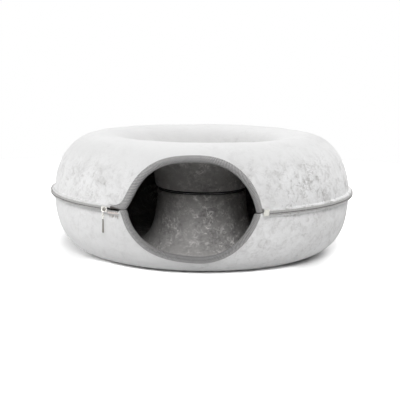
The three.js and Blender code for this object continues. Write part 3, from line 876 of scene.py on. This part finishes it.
# Crossed thread end and a few loose sewing threads under the open stretch.
def buildLooseThreads():
    verts, faces = rodForm([-0.5, -0.4, 0, 0.4, 0.5], [0.3, 0.7, 0.8, 0.7, 0.3], 7)
    frames = []
    plan = [(-24.5, -5.4, 301.0, 38, 3.4, 0.75), (-24.3, -5.6, 301.4, -40, 3.4, 0.75),
            (-24.9, -6.0, 300.9, 10, 2.4, 0.7)]
    for angle, lift, radius, lean, length, thick in plan:
        f = np.array(turnBy(angle, "Z") @ turnBy(lean, "Y"))
        f[:3, 0] *= length * mm
        f[:3, 1:3] *= thick * mm
        f[:3, 3] = place(radius, lift, angle)
        frames.append(f)
    standFor(repeatPiece("open_zip_thread_end", verts, faces, frames, [threadWhite]))
    frames = []
    for k, angle in enumerate([-29.0, -28.1, -27.5, -26.4, -25.7]):
        low = 12.5 + 1.6 * math.sin(2.1 * k)
        x = math.sin(math.radians(angle)) * felt["wall"]
        pair = onWall("lower", np.array([x, x + 0.3 * math.sin(1.7 * k)]), np.array([10.6, low + 2.6]), 2.3)
        f = frameBetween(*pair, wallNormal("lower", np.array([x]), np.array([low]))[0])
        f[:3, 1:3] *= 0.5
        frames.append(f)
    standFor(repeatPiece("open_zip_loose_threads", verts, faces, frames, [threadBrown]))


buildLooseThreads()

slider = {"height": 8.8, "wall": 1.2, "back": 301.0, "front": 302.2, "lip": 298.0, "middle": 300.9, "corner": 0.55}
pull = {"centre": 304.9, "eyeLift": -10.85, "eye": 2.25, "wire": 0.72, "linkWire": 0.6}
sliderPlace = np.array(Matrix.Translation((0, axisY, felt["seam"] * mm)) @ turnBy(zipPlan["slider"] - 90, "Z"))


# Points given as radial, along the zip and up, in mm.
def inSlider(points):
    return np.asarray(points) * mm @ sliderPlace[:3, :3].T + sliderPlace[:3, 3]


# Cosine or sine that gives a squared-off round.
def squared(value):
    return np.sign(value) * abs(value) ** 0.7


def roundedLoop(corners, radius, steps=4):
    corners = np.array(corners, float)
    out = []
    for before, p, after in zip(np.roll(corners, 1, 0), corners, np.roll(corners, -1, 0)):
        cut = min(radius, 0.45 * np.linalg.norm(before - p), 0.45 * np.linalg.norm(after - p))
        a, b = p + unit(before - p) * cut, p + unit(after - p) * cut
        out += [(1 - t) ** 2 * a + 2 * t * (1 - t) * p + t * t * b for t in np.linspace(0, 1, steps)]
    return np.array(out)


def buildSlider():
    half, inner = slider["height"] / 2, slider["height"] / 2 - slider["wall"]
    lip, front, back = slider["lip"], slider["front"], slider["back"]
    loop = roundedLoop([(lip, -half), (front, -half), (front, half), (lip, half),
                        (lip, inner), (back, inner), (back, -inner), (lip, -inner)], slider["corner"])
    centre = np.array([slider["middle"], 0.0])
    ends = [(6.0, 0.78), (5.8, 0.9), (5.3, 0.97), (4.4, 1.0), (1.5, 1.0)]
    rows = []
    for y, size in [(-y, size) for y, size in ends] + [(0, 0.97)] + ends[::-1]:
        shape = centre + (loop - centre) * np.array([1, size])
        rows.append(inSlider(np.stack([shape[:, 0], np.full(len(shape), y), shape[:, 1]], -1)))
    body = np.stack(rows)
    # bridge over the plate, for the link to hang in
    turn = np.radians(np.linspace(0, 180, 17))
    path = np.stack([front - 0.5 + 3.0 * np.sin(turn) ** 0.8, 2.6 * np.cos(turn)], -1)
    turns = np.radians(np.arange(0, 360, 30))
    off, side = 0.6 * squared(np.cos(turns)), 1.5 * squared(np.sin(turns))
    bridge = np.stack([inSlider(np.stack([r - tangent[1] * off, side, u + tangent[0] * off], -1))
                       for (r, u), tangent in zip(path, unit(np.gradient(path, axis=0)))])
    bodyFaces = sweepFaces(body, 0)
    bridgeFaces = sweepFaces(bridge, body.shape[0] * body.shape[1])
    verts = np.vstack([body.reshape(-1, 3), bridge.reshape(-1, 3)])
    slots = [0] * len(bodyFaces) + [1] * len(bridgeFaces)
    piece = addMesh("zip_slider_body", verts, bodyFaces + bridgeFaces, [sliderMetal, pullMetal], slots, crease=50)
    standFor(piece, "zip_slider")


def tubeLoop(path, radius):
    n = len(path)
    tangents = unit(np.roll(path, -1, 0) - np.roll(path, 1, 0))
    plane = unit(np.cross(path[n // 4] - path[0], path[n // 2] - path[0]))
    turns = np.arange(10) * math.pi / 5
    return np.array([[at + radius * (math.cos(t) * np.cross(tangent, plane) + math.sin(t) * plane) for t in turns]
                     for at, tangent in zip(path, tangents)])


def buildLink():
    centre, half, low, high = pull["centre"], 1.6, -10.6, 2.6
    rounds = [(half * math.cos(t), half * math.sin(t)) for t in np.radians(np.linspace(0, 180, 13))]
    path = np.array([(centre + a, 0, high - half + b) for a, b in rounds]
                    + [(centre - a, 0, low + half - b) for a, b in rounds])
    ring = sweepPiece("pull_link_ring", inSlider(tubeLoop(path, pull["linkWire"])), [sliderMetal], closedAlong=True)
    standFor(ring, "pull_link")


def buildPull():
    turn = np.radians(np.linspace(0, 360, 29)[:-1])
    path = np.stack([np.full(28, pull["centre"]), pull["eye"] * np.cos(turn),
                     pull["eyeLift"] + pull["eye"] * np.sin(turn)], -1)
    eye = tubeLoop(path, pull["wire"]).reshape(-1, 3)
    eyeFaces, _, _ = latticeFaces(28, 10, True, True)
    neck = [(-12.6, 0.9, 0.9), (-13.2, 1.1, 1.0), (-13.9, 0.8, 0.8), (-14.7, 1.25, 1.1), (-15.5, 1.3, 1.1),
            (-16.2, 0.85, 0.85), (-17.2, 0.8, 0.7)]
    rod = [(-16.8, 0.9, 0.7), (-17.4, 1.2, 0.75), (-20, 1.35, 0.7), (-26, 1.55, 0.66), (-33, 1.8, 0.64),
           (-37.5, 1.95, 0.62), (-39.8, 1.95, 0.6), (-40.9, 1.6, 0.5), (-41.5, 0.9, 0.35)]

    def bar(stations):
        turns = np.radians(np.arange(0, 360, 22.5))
        return np.array([[(pull["centre"] + thick * squared(math.cos(t)), wide * squared(math.sin(t)), lift)
                          for t in turns] for lift, wide, thick in stations])

    neckBar, rodBar = bar(neck), bar(rod)
    verts = np.concatenate([inSlider(eye), inSlider(neckBar.reshape(-1, 3)), inSlider(rodBar.reshape(-1, 3))])
    pale = facedOut(eye.reshape(28, 10, 3), eyeFaces.tolist()) + sweepFaces(neckBar, len(eye))
    dark = sweepFaces(rodBar, len(eye) + neckBar.shape[0] * neckBar.shape[1])
    slots = [0] * len(pale) + [1] * len(dark)
    standFor(addMesh("zip_pull_bar", verts, pale + dark, [sliderMetal, pullMetal], slots), "zip_pull")


buildSlider()
buildLink()
buildPull()
print("slider made")

stage = {"radius": 1.5, "floorColour": 0.76, "world": 0.05,
         "front": (0.236, 0.262, 2.6, 1.58),  # painted light and shade on the floor as the camera sees it: radii, then near and far colour
         # the sides are dimmer near the bed, a painted shadow under the overhang, then white
         "sides": (0.262, 0.335, 1.1, 1.7)}


def buildFloor():
    turns = np.radians(np.arange(0, 360, 4))
    rim = [(stage["radius"] * math.sin(t), -stage["radius"] * math.cos(t), 0) for t in turns]
    mesh = bpy.data.meshes.new("floor")
    mesh.from_pydata(rim, [], [list(range(len(rim)))])
    material, tree, shader = newMaterial("floorPaper")
    here, (x, _, _) = placeOn(tree)
    away = fromAxis(tree, here)
    aside = ramp(tree, maths(tree, "DIVIDE", maths(tree, "ABSOLUTE", x), away), 0.6, 0.85)
    aside = times(tree, aside, ramp(tree, away, 0.12, 0.16))  # the same all round in the hole
    # Painted light and shade for camera rays: brighter by the bed's front edge, dimmer under the sides.
    seen = mixColour(tree, aside, *(ramp(tree, away, *stage[part]) for part in ("front", "sides")))
    colour = mixColour(tree, seenRays(tree), (stage["floorColour"],) * 3 + (1,), seen)
    fill(tree, shader, {"Base Color": colour, "Roughness": 1.0, "Specular IOR Level": 0.0})
    mesh.materials.append(material)
    addObject("floor", mesh)


def buildWorld():
    world = bpy.data.worlds.new("studio")
    scene.world = world
    world.use_nodes = True
    tree = world.node_tree
    level = stage["world"]
    strength = plus(tree, times(tree, seenRays(tree), 1 - level), level)
    fill(tree, tree.nodes["Background"], {"Color": (1, 1, 1, 1), "Strength": strength})


lamps = {
    "frontKey": {"at": (0.1, -2.6, 1.75), "size": 1.0, "power": 51},
    "leftFill": {"at": (-2.9, 0.2, 1.3), "size": 1.6, "power": 55},
    "rightFill": {"at": (2.4, 0.3, 2.3), "size": 1.6, "power": 25},
    "backFill": {"at": (1.7, 1.9, 2.4), "size": 1.6, "power": 56},
    "topFill": {"at": (0.2, -0.9, 2.8), "size": 1.6, "power": 2},
}


def buildLamps():
    for name, spec in lamps.items():
        light = bpy.data.lights.new(name, "AREA")
        light.shape = "SQUARE"
        light.size = spec["size"]
        light.energy = spec["power"]
        lamp = addObject(name, light)
        lamp.location = spec["at"]
        lamp.rotation_euler = (Vector((0, axisY, 0.1)) - Vector(spec["at"])).to_track_quat("-Z", "Y").to_euler()


view = {"distance": 1.6994, "azimuth": 4.0, "height": 0.3835,
        "yaw": 4.114, "pitch": 9.74, "roll": 0.6, "lens": 76.65}


def buildCamera():
    camera = bpy.data.cameras.new("camera")
    camera.lens = view["lens"]
    camera.sensor_width = 36
    camera.clip_start, camera.clip_end = 0.05, 60
    eye = addObject("camera", camera)
    azimuth, away = math.radians(view["azimuth"]), view["distance"]
    eye.location = (away * math.sin(azimuth), axisY - away * math.cos(azimuth), view["height"])
    turn = turnBy(view["yaw"], "Z") @ turnBy(90 - view["pitch"], "X") @ turnBy(view["roll"], "Z")
    eye.rotation_euler = turn.to_euler()
    scene.camera = eye


buildFloor()
buildWorld()
buildLamps()
buildCamera()
scene.view_settings.view_transform = "Standard"
print("stage, lamps and camera made")
